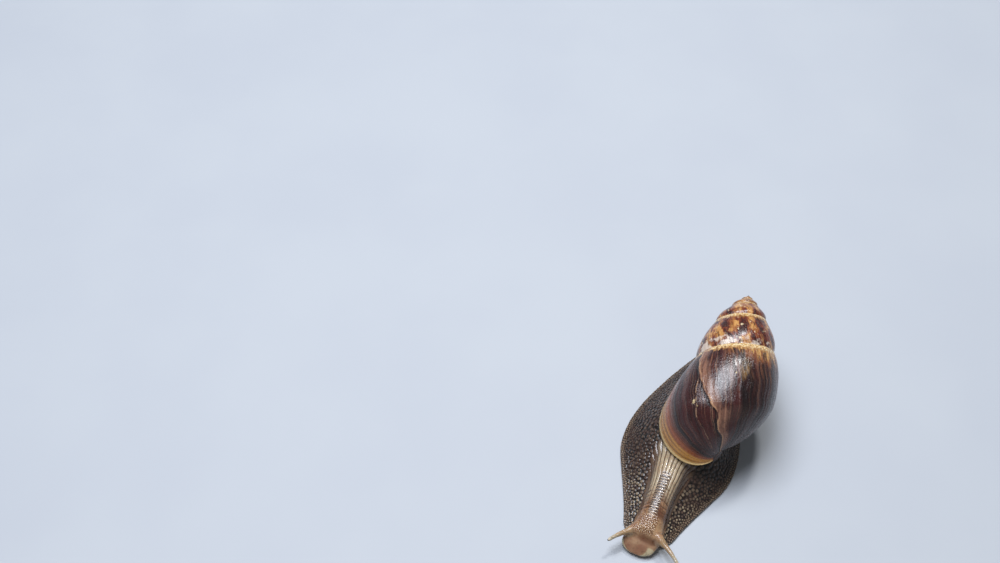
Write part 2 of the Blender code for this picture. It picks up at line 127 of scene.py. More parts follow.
def base(back, t=np.linspace(0, 1, BASE_ROWS + 1)):
    """Profile from the widest line in to the pillar."""
    edge = widest(back)
    end = np.array([PILLAR_RADIUS, SHELL_BASE - PILLAR_SLANT * back])
    length = np.linalg.norm(end - edge)
    rounding = math.exp(-back / BASE_ROUND_TURNS)
    leave = SHOULDER_END * length * (BASE_START_PULL[0] + BASE_START_PULL[1] * rounding)
    tilt = BASE_END_TILT - BASE_LIP_TILT * rounding
    arrive = np.array([-1.0, tilt]) * length * (BASE_END_PULL[0] + BASE_END_PULL[1] * rounding)
    return hermite(edge, leave, end, arrive, t)


def round_axis(profile, back):
    """Profile points (radius, down) in the shell's own frame at a turn."""
    angle = math.radians(LIP_ANGLE) - 2 * math.pi * back
    radius, down = profile[:, 0], profile[:, 1]
    return np.stack([radius * math.cos(angle), radius * math.sin(angle), down], axis=1)


print("lip radius and distance down, mm:", widest(0.0).round(1), "one turn back:", widest(1.0).round(1))

# %% [markdown]
# A suture point is the top of one turn and the widest line of the other, and its growth differs by a
# turn. The turns could share their points from the start, but what is painted on them would tear
# there, so the grid keeps every such point twice until the faces are made.

# %% Rows and columns of the shell
turns_back = TURNS - np.arange(TURNS * PER_TURN + 1) / PER_TURN
fine_turns = np.linspace(0, TURNS + 1, 1201)
fine_radius = np.array([widest(b)[0] for b in fine_turns])
fine_growth = np.concatenate([[0], np.cumsum((fine_radius[1:] + fine_radius[:-1]) * math.pi
                                             * np.diff(fine_turns))])

points = []
painted = []               # turns back, rows across (0 suture, 1 widest, 2 pillar), mm from the suture


def lay_column(back):
    """Adds one column of grid points and returns how many there are."""
    profile = shoulder(back)
    across = np.linspace(0, 1, SHOULDER_ROWS + 1)
    if back <= 1.0:
        profile = np.vstack([profile, base(back)[1:]])
        across = np.concatenate([across, 1 + np.linspace(0, 1, BASE_ROWS + 1)[1:]])
    below = np.concatenate([[0], np.cumsum(np.linalg.norm(np.diff(profile, axis=0), axis=1))])
    points.append(round_axis(profile, back))
    painted.append(np.stack([np.full(len(profile), back), across, below], axis=1))
    return len(profile)


starts = np.concatenate([[0], np.cumsum([lay_column(back) for back in turns_back])[:-1]])
grid_points = np.vstack(points)
grid_paint = np.vstack(painted)
print("grid points", len(grid_points), "growth along the widest line, mm", fine_growth[-1].round(0))

# %% [markdown]
# Faces are quads between columns, a small fan at the tip and one at the pillar's end. Merging by
# distance could join the turns, but it might also join the narrow rows near the tip, so each suture
# point is given the number of its twin on the turn before.

# %% Stitch the turns together
rows = np.arange(SHOULDER_ROWS + 1)
shoulder_grid = starts[:, None] + rows[None, :]
alias = np.arange(len(grid_points))
alias[shoulder_grid[PER_TURN:, 0]] = shoulder_grid[:-PER_TURN, -1]
base_grid = starts[-PER_TURN - 1:, None] + SHOULDER_ROWS + np.arange(BASE_ROWS + 1)[None, :]


def quads(grid):
    return np.stack([grid[:-1, :-1], grid[:-1, 1:], grid[1:, 1:], grid[1:, :-1]], axis=-1).reshape(-1, 4)


faces = [tuple(f) for f in np.vstack([quads(shoulder_grid), quads(base_grid)])]
extra = len(grid_points)
tip, pillar_end = extra, extra + 1
own_points = [np.array([[0, 0, 0], [0, 0, SHELL_BASE - PILLAR_END_HOLLOW]], float)]
own_paint = [np.array([[TURNS, 0, 0], [0.5, 2, 60]], float)]      # for the tip and the pillar's end
faces += [(tip, a, b) for a, b in zip(shoulder_grid[:PER_TURN, 0], shoulder_grid[1:PER_TURN + 1, 0])]
faces += [(tip, shoulder_grid[0, j + 1], shoulder_grid[0, j]) for j in range(SHOULDER_ROWS)]
faces += [(pillar_end, b, a) for a, b in zip(base_grid[:-1, -1], base_grid[1:, -1])]
print("outer faces", len(faces))

# %% [markdown]
# The mouth is the crescent between the last turn and the one before it. Solidify could give the lip
# its wall, but it would thicken the whole shell. Instead rings go over a rounded rim and back into
# the last turn, so the lip is a wall about a millimetre thick with the collar of flesh behind it.

# %% The lip and the mouth
# Turns before the lip where each ring lies, and how far in from the outside it is, in mm.
MOUTH_RINGS = [(-0.0006, 0.12), (-0.0012, 0.4), (-0.0010, 0.75), (0.0006, 1.0), (0.02, 1.0),
               (0.045, 1.0), (0.075, 1.0)]
CORNER_START = 0.05        # how far the rings keep from the mouth's two corners, per mm of wall
CORNER_END = 0.03


def sample(curve, spots):
    """Points along a polyline, at numbers that count its own points."""
    numbers = np.arange(len(curve))
    return np.stack([np.interp(spots, numbers, curve[:, k]) for k in (0, 1)], axis=1)


def drawn_in(curve, towards, step):
    way = towards - curve
    width = np.linalg.norm(way, axis=1)[:, None]
    return curve + way / np.maximum(width, 1e-6) * np.minimum(step, width * 0.4)


def mouth_ring(turn, wall):
    """One ring round the mouth: down the last turn, round the pillar, back up the turn before."""
    at = max(turn, 0.0)
    outer = np.vstack([shoulder(at), base(at)[1:]])
    top, bottom = CORNER_START * wall, 1 - CORNER_END * wall
    outer_t = top + (bottom - top) * np.linspace(0, 1, len(outer))
    inner_t = top + (bottom - top) * np.arange(1, BASE_ROWS + 1) / BASE_ROWS
    last = len(outer) - 1
    outside = drawn_in(sample(outer, outer_t * last), base(turn + 1, outer_t), wall)
    inside = drawn_in(base(turn + 1, inner_t), sample(outer, inner_t * last), wall)
    corner = (outside[-1:] + inside[-1:]) / 2
    return round_axis(np.vstack([outside, corner, inside[::-1]]), turn)


rim = list(shoulder_grid[-1]) + list(base_grid[-1, 1:]) + [pillar_end] + list(base_grid[0, :0:-1])
before = rim
for turn, wall in MOUTH_RINGS:
    ring = mouth_ring(turn, wall)
    first = extra + sum(len(p) for p in own_points)
    own_points.append(ring)
    own_paint.append(np.tile([turn, 1.0, 30.0], (len(ring), 1)))
    now = list(range(first, first + len(ring)))
    for i in range(len(now)):
        j = (i + 1) % len(now)
        faces.append((before[i], before[j], now[j], now[i]))
    before = now
faces.append(tuple(before))
all_points = np.vstack([grid_points] + own_points)
all_paint = np.vstack([grid_paint] + own_paint)
alias = np.concatenate([alias, np.arange(extra, len(all_points))])
print("faces with the mouth", len(faces))

# %% [markdown]
# Growth lines follow the lip as it was, so they slant a little across the turn, and they wander. An
# image could hold them, but it would blur and stretch towards the tip. Distances in millimetres are
# kept instead: back from the lip, down from the suture, and from the break that healed and left a
# step across the last turn.

# %% Growth measured over the shell
SLANT = (0.055, 0.03)      # turns that a growth line falls back on the shoulder and on the base
SLANT_FADE = 0.12
WANDER = 0.7               # mm that a growth line strays
SCAR = [(0, 47), (0.31, 52), (0.67, 65), (1.0, 78), (1.2, 88), (1.34, 90), (1.46, 90), (1.58, 101),
        (1.8, 104), (2, 106)]      # the healed break: rows across, degrees before the lip
# Small chips: mm before the lip, mm below the suture, and half sizes both ways.
CHIPS = [(24.6, 27.9, 0.9, 1.2), (26.4, 29.9, 0.35, 0.5), (39.8, 15.9, 0.4, 0.7)]
GOLD = (43.0, 14.0, 3.4, 7.5)       # the middle and half sizes of a golden streaky patch
HALT = (20.4, 1.1)         # where growth once stopped: mm before the lip, and how far that wavers


def ramp(low, high, value):
    """A smooth step from 0 at low to 1 at high."""
    t = np.clip((value - low) / (high - low), 0.0, 1.0)
    return t * t * (3 - 2 * t)


def wobble(seed, value, spacing):
    """Smooth random numbers from -1 to 1, one about every so many millimetres."""
    table = np.random.default_rng(seed).uniform(-1, 1, 4096)
    place = value / spacing + 700
    low = np.floor(place).astype(int)
    t = place - low
    t = t * t * (3 - 2 * t)
    return table[low % 4096] * (1 - t) + table[(low + 1) % 4096] * t


back, across, below = all_paint.T
line_back = back - (SLANT[0] * np.minimum(across, 1) + SLANT[1] * np.maximum(across - 1, 0)) * (
    1 - np.exp(-np.maximum(back, 0) / SLANT_FADE))
plain_growth = np.interp(back, fine_turns, fine_growth)
growth = np.interp(line_back, fine_turns, fine_growth)
growth += WANDER * ramp(3, 12, growth) * (0.7 * wobble(41, below, 6)
                                               + 0.3 * wobble(42, below + 0.3 * growth, 2.1))
scar_rows, scar_degrees = np.array(SCAR, float).T
scar_growth = np.interp(np.interp(across, scar_rows, scar_degrees) / 360, fine_turns, fine_growth)
scar = scar_growth + 0.5 * wobble(43, below, 2.5) - plain_growth      # mm towards the lip from it
chips = np.min([np.hypot((plain_growth - g) / w, (below - d) / h) for g, d, w, h in CHIPS], axis=0)
chips += 0.25 * wobble(44, plain_growth, 0.4) * wobble(45, below, 0.5)
halt = np.abs(growth - HALT[0] - HALT[1] * wobble(46, below, 11))
gold = np.exp(-((plain_growth - GOLD[0]) / GOLD[2]) ** 2 - ((below - GOLD[1]) / GOLD[3]) ** 2)
print("growth line range, mm", growth.min().round(1), growth.max().round(1))

# %% [markdown]
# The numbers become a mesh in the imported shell's place. The distances could be kept at its points,
# but a suture point needs one value for each of its two turns, so the faces' corners carry them.

# %% Make the shell's mesh
def only(thing):
    """Deselects everything, then selects this piece alone."""
    bpy.ops.object.select_all(action="DESELECT")
    thing.select_set(True)
    bpy.context.view_layer.objects.active = thing


def numbers(mesh, what, field, width=3):
    """Reads a field of all points, edges or faces of a mesh."""
    found = np.zeros(len(getattr(mesh, what)) * width, np.float32)
    getattr(mesh, what).foreach_get(field, found)
    return found.reshape(-1, width).astype(float)


def new_object(name, data):
    """Puts a mesh, a lamp or a camera in the scene."""
    made = bpy.data.objects.new(name, data)
    bpy.context.scene.collection.objects.link(made)
    return made


def keep(mesh, domain, values):
    """Stores named values on the mesh for its material to read."""
    for name, value in values.items():
        layer = mesh.attributes.new(name, "FLOAT", domain)
        layer.data.foreach_set("value", value.astype(np.float32))


face_list = [tuple(int(alias[c]) for c in face) for face in faces]
used = np.unique(np.concatenate([np.array(f) for f in face_list]))
renumber = np.full(len(all_points), -1)
renumber[used] = np.arange(len(used))
face_list = [tuple(int(renumber[c]) for c in face) for face in face_list]
yaw, rise = math.radians(SHELL_YAW), math.radians(SHELL_RISE)
down_axis = Vector((math.sin(yaw) * math.cos(rise), -math.cos(yaw) * math.cos(rise), -math.sin(rise)))
right_side = Vector((-math.cos(yaw), -math.sin(yaw), 0.0))
axes = np.array([right_side.cross(down_axis), right_side, down_axis])
shell_points = all_points[used] @ axes
shell_low, shell_high = (np.array(corner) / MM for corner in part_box("shell"))
shell_points += (shell_low + shell_high) / 2 - (shell_points.min(0) + shell_points.max(0)) / 2
shell_mesh = bpy.data.meshes.new("shell_of_the_snail")
shell_mesh.from_pydata((shell_points * MM).tolist(), [], face_list)
shell_mesh.update()
shell = new_object("shell_of_the_snail", shell_mesh)
on_shell = {"growth": growth, "below": below, "turns": back, "scar": scar, "chips": chips,
            "halt": halt, "gold": gold}
corner_ids = np.array([c for face in faces for c in face])
keep(shell_mesh, "CORNER", {name: value[corner_ids] for name, value in on_shell.items()})
only(shell)
bpy.ops.object.mode_set(mode="EDIT")
bpy.ops.mesh.select_all(action="SELECT")
bpy.ops.mesh.normals_make_consistent(inside=False)
bpy.ops.object.mode_set(mode="OBJECT")
shell_mesh.shade_smooth()
print("shell", len(shell_mesh.vertices), "points", len(shell_mesh.polygons), "faces",
      [round(v / MM, 1) for v in shell.dimensions])

# %% [markdown]
# The shell is ribbed along its growth, with a puckered seam under each suture, a step where the break
# healed, and soft dents. Bump could show the ribs, but the step and the seam catch the light as real
# forms, so each point moves along its own normal.

# %% Raise the growth ribs
RIBS = [(0.07, 0.9), (0.10, 2.6), (0.10, 6.5)]     # height and spacing of three sizes, mm
WAVE = 0.11                # height of the soft dents
SEAM = 0.26                # height of the puckered seam under the suture
SEAM_PLACE = (0.9, 0.55)   # how far below the suture it lies, and its width
STEP = 0.32                # height of the healed break
STEP_WIDTH = 2.0
HALT_RIB = (0.10, 0.5)     # height and width of the rib where growth halted
SUTURE_GROOVE = (0.6, 0.3)      # its depth as a share of the seam's height, and its width


def move_points(mesh, metres):
    mesh.vertices.foreach_set("co", metres.astype(np.float32).ravel())
    mesh.update()


owner = np.full(len(used), -1)
owner[renumber[alias]] = np.arange(len(alias))
g, b, a, t = growth[owner], below[owner], across[owner], back[owner]
size = np.clip(np.interp(t, fine_turns, fine_radius) / SPIRE_RADIUS, 0.05, 1.0)
relief = sum(rib * wobble(k, g, spacing) * (0.7 + 0.3 * wobble(k + 20, b, 8))
             for k, (rib, spacing) in enumerate(RIBS, 1))
relief += WAVE * wobble(4, g + b * 0.7, 7) * wobble(5, b - g * 0.4, 8)
pucker = 0.6 + 0.4 * wobble(6, g, 1.2)
relief += SEAM * pucker * np.exp(-((b - SEAM_PLACE[0]) / SEAM_PLACE[1]) ** 2)
relief -= SEAM * SUTURE_GROOVE[0] * np.exp(-(b / SUTURE_GROOVE[1]) ** 2)
healed = (scar[owner] > 0) & (t < 0.5)
relief -= STEP * np.where(healed, np.exp(-np.maximum(scar[owner], 0) / STEP_WIDTH), 0) * ramp(0, 0.4, a)
relief += HALT_RIB[0] * np.exp(-(halt[owner] / HALT_RIB[1]) ** 2)
relief *= size * np.where(owner < extra, 1.0, 0.0) * ramp(2.0, 1.9, a)
places = numbers(shell_mesh, "vertices", "co")
places += numbers(shell_mesh, "vertices", "normal") * (relief * MM)[:, None]
move_points(shell_mesh, places)
print("relief, mm", relief.min().round(2), relief.max().round(2))
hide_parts("shell")
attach(shell, "root")

# %% [markdown]
# ## The skin
# The living animal is one piece of skin. It could be modelled anew, but the solids hold its form. So
# copies of them, with a small ball behind each eye to close its socket, are grown a little to close
# their gaps, and a voxel remesh turns them into one even mesh. It is smoothed and then drawn back by
# the same amount, so it lies where the solids were.

# %% One skin from the flesh solids
FLESH = ["foot", "trunk", "tail", "neck", "head", "lips", "mantle_collar", "upper_tentacle_left",
         "upper_tentacle_right", "lower_tentacle_left", "lower_tentacle_right"]
GROW = 0.22                # mm that the copies swell before the remesh
VOXEL = 0.36
# Where the upper feelers leave the head, in the body's axes.
FEELER_ROOTS = {"left": (4.8, 5.4, 6.3), "right": (-5.2, 5.2, 6.3)}
BULB_RADIUS = 0.58         # the ball round the back of the eye, and how far back its middle lies
BULB_BACK = 0.22

feelers = {}
for side, root in FEELER_ROOTS.items():
    low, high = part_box("eye_" + side)
    feelers[side] = (np.array(root), np.array((low + high) / 2) / MM - ORIGIN)

work = bmesh.new()
for name in FLESH:
    work.from_mesh(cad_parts[name].data)
for root, tip_place in feelers.values():
    middle = tip_place - BULB_BACK * (tip_place - root) / np.linalg.norm(tip_place - root)
    ball = bmesh.ops.create_icosphere(work, subdivisions=2, radius=BULB_RADIUS * MM)
    bmesh.ops.translate(work, verts=ball["verts"], vec=Vector((middle + ORIGIN) * MM))
bmesh.ops.remove_doubles(work, verts=work.verts, dist=0.00001)
skin_mesh = bpy.data.meshes.new("skin_of_the_snail")
work.to_mesh(skin_mesh)
work.free()
skin = new_object("skin_of_the_snail", skin_mesh)
only(skin)
bpy.ops.object.mode_set(mode="EDIT")
bpy.ops.mesh.select_all(action="SELECT")
bpy.ops.mesh.normals_make_consistent(inside=False)
bpy.ops.transform.shrink_fatten(value=GROW * MM)
bpy.ops.object.mode_set(mode="OBJECT")
remesh = skin.modifiers.new("even_mesh", "REMESH")
remesh.mode = "VOXEL"
remesh.voxel_size = VOXEL * MM
bpy.ops.object.modifier_apply(modifier=remesh.name)
print("skin", len(skin.data.vertices), "points", [round(v / MM, 2) for v in skin.dimensions])

# %% [markdown]
# Wet flesh has no facets. The Smooth modifier would shrink the thin feelers, so a filter that keeps
# the volume takes off the facets, and then a plain one rounds only the thick parts. The head and the
# feelers are looked at closely, so their faces are divided once, and all is smoothed again.

# %% Smooth the skin
HEAD_END = 12.0            # the finer faces reach this far back from the front
KEEP_IN, KEEP_OUT = 0.5, 0.53      # steps of the filter that keeps the volume: in, then out again
ROUND_STEP = 0.5
ALL_ROUNDS = (20, 34)      # rounds of the first and the second filter, on the whole skin
HEAD_ROUNDS = (10, 16)     # and once the head is divided
FEELER_WIDTH = 3.0         # flesh within this of a feeler's middle line belongs to it


def body_places(mesh):
    return numbers(mesh, "vertices", "co") / MM - ORIGIN


def along_feelers(places):
    """For each point: the part of a feeler's length where it lies, or 0 away from both feelers."""
    found = np.zeros(len(places))
    for root, tip_place in feelers.values():
        way = tip_place - root
        part = (places - root) @ way / (way @ way)
        off = np.linalg.norm(places - root - part[:, None] * way, axis=1)
        found = np.where((off < FEELER_WIDTH) & (part > 0), np.maximum(found, part), found)
    return found


def smooth(mesh, keep_rounds, round_rounds):
    """Smooths a mesh and returns its points in the body's axes."""
    pairs = np.zeros(len(mesh.edges) * 2, np.int64)
    mesh.edges.foreach_get("vertices", pairs)
    one, other = pairs.reshape(-1, 2).T
    count = len(mesh.vertices)
    neighbours = (np.bincount(one, minlength=count) + np.bincount(other, minlength=count))[:, None]

    def pull(values):
        total = [np.bincount(one, values[other, k], count) + np.bincount(other, values[one, k], count)
                 for k in range(3)]
        return np.stack(total, axis=1) / neighbours - values

    place = body_places(mesh)
    for _ in range(keep_rounds):
        place += KEEP_IN * pull(place)
        place -= KEEP_OUT * pull(place)
    thick = ramp(1.6, 3.2, place[:, 2]) * ramp(-2.0, 1.5, place[:, 1])
    thick *= ramp(0.6, 0.35, along_feelers(place)) * ramp(112.0, 104.0, place[:, 1])
    for _ in range(round_rounds):
        place += ROUND_STEP * thick[:, None] * pull(place)
    move_points(mesh, (place + ORIGIN) * MM)
    return place


def select_faces(mesh, chosen):
    mesh.vertices.foreach_set("select", np.zeros(len(mesh.vertices), bool))
    mesh.edges.foreach_set("select", np.zeros(len(mesh.edges), bool))
    mesh.polygons.foreach_set("select", chosen)


smooth(skin.data, *ALL_ROUNDS)
centres = numbers(skin.data, "polygons", "center") / MM - ORIGIN
# All of the head, but not the front of the foot under it.
select_faces(skin.data, (centres[:, 1] < HEAD_END) & (centres[:, 2] > 1.2) & (
    (centres[:, 2] > 4.4) | (centres[:, 1] < 2.5)))
bpy.ops.object.mode_set(mode="EDIT")
bpy.ops.mesh.select_mode(type="FACE")
bpy.ops.mesh.subdivide(number_cuts=1)
bpy.ops.object.mode_set(mode="OBJECT")
skin_mesh = skin.data
place = smooth(skin_mesh, *HEAD_ROUNDS)
count = len(place)
normal = numbers(skin_mesh, "vertices", "normal")
place -= normal * GROW
sole = (normal[:, 2] < -0.9) & (place[:, 2] < 0.6) & (place[:, 1] > 3.8)
place[sole, 2] = 0.0
place[:, 2] = np.maximum(place[:, 2], 0.0)
print("skin after dividing the head", count, "points, on the sole", sole.sum(),
      "lowest, highest", place.min(0).round(2), place.max(0).round(2))

# %% [markdown]
# Knobs, ridges and colours differ from place to place. They could be painted by hand, but here each
# point is measured: along the body, round the neck, in from the foot's edge, along a feeler, and
# from the shell. The foot's half width is read from the solids.

# %% Find the regions of the body
NECK_LINE = np.array([  # along, height of the middle, half width, half height, sideways shift
    (-3, 1.6, 2.0, 0.5, -1.7), (-2.4, 1.9, 4.0, 0.9, -1.7), (-1.1, 2.4, 6.3, 1.5, -1.7),
    (0.5, 3.1, 7.4, 2.1, -1.6), (2.6, 3.9, 7.8, 2.7, -1.2), (4.2, 4.7, 7.6, 3.5, -0.9),
    (6, 5.4, 6.9, 4.3, -0.6), (9.4, 6.1, 6.1, 5.0, 0), (14.5, 6.6, 5.7, 5.4, 0),
    (20.4, 7.2, 5.7, 5.7, 0), (27.3, 8.1, 6.1, 6.1, 0), (34.2, 8.8, 7.2, 5.9, 0),
    (42.4, 8.7, 8.6, 5.2, 0), (50.3, 9.4, 9.0, 5.4, 0), (58, 9.0, 8.0, 4.6, 0)])
LOW = 1.4                  # foot points below this height give its outline
STRIP = 2.6                # half the length over which its width is read

foot_points = np.vstack([numbers(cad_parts[n].data, "vertices", "co") for n in ("foot", "tail")])
foot_points = foot_points / MM - ORIGIN
low_points = foot_points[foot_points[:, 2] < LOW]
bins = np.arange(3.0, 113.0, 2.0)
wide = np.array([np.abs(low_points[np.abs(low_points[:, 1] - y) < STRIP, 0]).max(initial=0.5)
                 for y in bins])

x, along, z = place.T
middle, half, tall, shift = (np.interp(along, NECK_LINE[:, 0], NECK_LINE[:, k]) for k in (1, 2, 3, 4))
ratio = np.hypot((x - shift) / half, (z - middle) / tall)
angle = np.arctan2((x - shift) / half, (z - middle) / tall)
around = angle * half
margin = np.interp(along, bins, wide) - np.abs(x)
neckness = ramp(1.3, 1.12, ratio) * ramp(62.0, 50.0, along)
feeler = along_feelers(place) * ramp(1.0, 1.12, ratio)
neckness = np.where((along < 4.0) | (feeler > 0.02), 1.0, neckness)
rim_length = np.concatenate([[0], np.cumsum(np.hypot(np.diff(bins), np.diff(wide)))])
rim_place = np.interp(along, bins, rim_length)
shell_tree = BVHTree.FromPolygons([Vector(p) for p in places], [p.vertices[:] for p in shell_mesh.polygons])
FAR = 4.0
away = np.array([shell_tree.find_nearest(Vector(p), FAR * MM)[3] or FAR * MM
                 for p in (place + ORIGIN) * MM]) / MM
bare = ramp(0.3, 1.2, away)
print("foot's widest", wide.max().round(1), "mm; points close to the shell", (away < 1.0).sum())

# %% [markdown]
# The skin is covered in knobs like round pebbles, parted by grooves. A Voronoi texture can't change
# their size along the body or keep them from crowding. So middles are scattered, none closer to the
# next than the knob size there, and each point finds how far it is from the nearest middle and from
# the groove half way to the next.

# %% Knobs
def cells(where, spacing, seed):
    """Scatters middles over points. Gives each point its distance from the nearest one and from
    the groove, as parts of the spacing, and a random tone for its knob."""
    tree = KDTree(len(where))
    for i, p in enumerate(where):
        tree.insert(p, i)
    tree.balance()
    taken = np.zeros(len(where), bool)
    middles = []
    for i in np.random.default_rng(seed).permutation(len(where)):
        if taken[i]:
            continue
        middles.append(i)
        for _, j, _ in tree.find_range(where[i], spacing[i]):
            taken[j] = True
    net = KDTree(len(middles))
    for i in middles:
        net.insert(where[i], int(i))
    net.balance()
    found = [net.find_n(p, 2) for p in where]
    near = np.array([f[0][2] for f in found]) / spacing
    groove = np.array([f[1][2] for f in found]) / spacing - near
    tone = np.random.default_rng(seed + 1).uniform(-1, 1, len(where))[[f[0][1] for f in found]]
    return near, groove, tone, len(middles)


EDGE_KNOB, KNOB_GAIN = 0.8, 0.7      # mm between knobs at the foot's edge, and how much more inwards
HEAD_KNOB = 0.7
top = ~sole & (z > 0.02)
near, groove, tone = np.ones(count), np.zeros(count), np.zeros(count)
ids = np.where(top & (neckness < 0.999))[0]
flank_size = EDGE_KNOB + KNOB_GAIN * ramp(1.5, 9.0, margin[ids])
flank_size *= 1 + 0.28 * wobble(51, along[ids] + 0.3 * z[ids], 2.3) * wobble(52, x[ids] - 0.3 * z[ids], 2.3)
near[ids], groove[ids], tone[ids], made = cells(place[ids], flank_size, 11)
print("knobs on the foot", made)
ids = np.where(top & (neckness > 0.001))[0]
grain_size = HEAD_KNOB * (1 + 0.35 * wobble(47, x[ids] + 0.4 * z[ids], 1.4) * wobble(48, along[ids], 1.4))
neck_near, neck_groove, neck_tone, made = cells(place[ids], grain_size, 21)
blend = neckness[ids]
near[ids] = near[ids] * (1 - blend) + neck_near * blend
groove[ids] = groove[ids] * (1 - blend) + neck_groove * blend
tone[ids] = np.where(blend > 0.5, neck_tone, tone[ids])
print("cells on the neck and head", made)

# %% [markdown]
# Pale ridges run back along the neck with dark lines between them, rungs cross the middle of its
# back, and folds wrap its front half. They could be sculpted, but they repeat nearly evenly, so
# waves along and round the neck are simpler. Smooth random numbers keep them from looking ruled.

# %% Ridges, rungs and folds of the neck
RIDGE_ANGLE = math.radians(15)
RIDGES_BEGIN = (14.0, 29.0)          # all of these are mm from the front of the animal
RUNGS_BEGIN, RUNGS_END = (9.5, 12.0), (33.0, 29.0)
RUNG_SPACING = 1.25
RUNG_MIDDLE = -0.9         # the rungs run a little to the animal's right of the middle
RUNG_HALF_WIDTH = 1.75
FOLDS = [(24.4, 0.36), (22.2, 0.42), (20.4, 0.3), (18.3, 0.4), (16.6, 0.3), (14.4, 0.4), (12.4, 0.32)]


def wave(turns):
    """From 0 to 1 and back, once for each whole turn."""
    return 0.5 + 0.5 * np.cos(2 * math.pi * turns)


ridge_zone = neckness * ramp(*RIDGES_BEGIN, along + 0.6 * np.abs(around)) * ramp(0.85, 1.0, ratio)
ridge_wave = angle / RIDGE_ANGLE + 0.22 * wobble(31, along, 7) + 0.3 * wobble(35, around, 4)
ridge = ramp(0.0, 0.27, np.abs(ridge_wave - np.round(ridge_wave)))
rung_off = np.abs(around - RUNG_MIDDLE - 0.5 * wobble(36, along, 6))
rung_zone = neckness * ramp(RUNG_HALF_WIDTH + 0.7, RUNG_HALF_WIDTH, rung_off) * (
    ramp(*RUNGS_BEGIN, along) * ramp(*RUNGS_END, along))
rung = wave(along / RUNG_SPACING + 0.5 * wobble(32, around, 1.1) + 0.6 * wobble(33, along, 3.1))
rung *= 0.75 + 0.25 * wobble(39, along, 1.3) * wobble(40, around + 9.0, 0.9)
fold = np.zeros(count)
for k, (line, width) in enumerate(FOLDS):
    bent = line + 1.1 * np.cos(angle) - 0.8 + 0.6 * wobble(50 + k, around, 2.6)
    fold += np.exp(-((along - bent) / width) ** 2) * (0.65 + 0.35 * wobble(60 + k, around, 2.0))
fold *= neckness * ramp(1.6, 2.4, rung_off) * ramp(1.9, 1.2, np.abs(angle))
print("points on ridges", (ridge_zone > 0.5).sum(), "on rungs", (rung_zone > 0.5).sum(), "folds", len(FOLDS))

# %% [markdown]
# The head has a soft valley between the feelers, grains on its crown, and a broad lobe in front with
# a pale rim and the mouth slit under it. Fine rows of grains edge the foot. Each is a zone with soft
# limits, used for the shape here and the colours later, so a hollow and its shade always meet.

# %% Valley, crown, lobe and the foot's edge
VALLEY_LINE = (2.7, 1.5)   # where the valley lies along the head, and its width
ROW_SPACING = 1.05         # grains along the foot's edge, and from the edge inwards
GRAIN_ROWS = 0.95
MOUTH_PLACE = (-1.7, 1.4)  # the slit's middle across and up, and its half sizes
MOUTH_SIZE = (1.9, 0.3)

valley_line = VALLEY_LINE[0] + 0.35 * wobble(37, x, 3)
valley = np.exp(-((along - valley_line) / VALLEY_LINE[1]) ** 2) * ramp(7.4, 4.6, np.abs(x + 1.0)) * (
    ramp(4.0, 5.4, z)) * (0.35 + 0.65 * ramp(-5.5, 1.0, x))
crown = neckness * ramp(3.2, 4.8, along) * ramp(13.0, 10.0, along) * ramp(
    5.2, 3.4, np.abs(around - RUNG_MIDDLE)) * (feeler < 0.12)
lobe = ramp(3.6, 1.8, along) * (neckness > 0.5) * (feeler < 0.15)
# The pale rim is wider on the left of the front.
rim_height = 0.4 + 0.2 * ramp(-1.5, 2.5, x) + 0.08 * wobble(49, x, 1.3)
lobe_rim = lobe * ramp(rim_height + 0.22, rim_height, (z - middle) / tall) * (z > middle - 0.6)
lobe_rim *= ramp(1.2, 0.2, along)
mouth = np.exp(-((z - MOUTH_PLACE[1]) / MOUTH_SIZE[1]) ** 2 - ((x - MOUTH_PLACE[0]) / MOUTH_SIZE[0]) ** 2)
mouth *= ramp(-1.2, -2.0, along)
edge_zone = ramp(3.0, 1.6, margin) * (1 - neckness) * ramp(0.1, 0.5, z)
row = wave(rim_place / ROW_SPACING + 0.45 * wobble(34, rim_place, 2.2) + 0.35 * wobble(50, margin, 0.9))
rows = row * (0.15 + 0.85 * wave(margin / GRAIN_ROWS + 0.6 * wobble(38, rim_place, 1.0)))
brim = (1 - neckness) * ramp(0.9, 0.4, z) * (z > 0.05)
print("points on the crown", (crown > 0.5).sum(), "lobe", (lobe > 0.5).sum(), "edge", (edge_zone > 0.5).sum())

# %% [markdown]
# The forms are added up and each point moves along its own normal. Bump alone would leave the outline
# smooth, and these knobs show in it, so only pores finer than the mesh are left to bump.

# %% Raise the skin's forms
KNOB = 0.26                # heights in mm: a full-sized knob on the flank, a grain on the head
HEAD_GRAIN = 0.15
RIDGE = 0.26
RUNG = 0.24
FOLD_DEPTH = 0.3
VALLEY = 0.25
ROW_HEIGHT = 0.13
MOUTH_DEPTH = 0.5

dome = np.sqrt(np.clip(1 - (near / 0.64) ** 2, 0, 1)) * ramp(0.0, 0.3, groove)
dome = np.minimum(1.3 * dome, 0.8 + 0.2 * dome)      # steep sides and a flat top
soft = ramp(0.05, 0.3, feeler) + lobe
by_shell = ramp(3.8, 1.2, away)      # the mantle by the shell is nearly smooth
height = KNOB * (dome - 0.4) * (1 - neckness) * (1 - 0.75 * edge_zone) * (1 - 0.85 * by_shell)
height += ROW_HEIGHT * (rows - 0.5) * edge_zone
height += HEAD_GRAIN * (dome - 0.4) * neckness * (
    0.12 + 0.3 * ramp(7.0, 12.0, along) + 0.88 * crown) * (1 - ridge_zone) * (
    1 - 0.8 * rung_zone) * (1 - soft.clip(0, 0.9))
height += RIDGE * (ridge - 0.7) * ridge_zone * (1 - rung_zone)
height += RUNG * (rung - 0.6) * rung_zone - FOLD_DEPTH * fold - VALLEY * valley - MOUTH_DEPTH * mouth
height = np.where(sole, 0.0, height) * bare
place += normal * height[:, None]
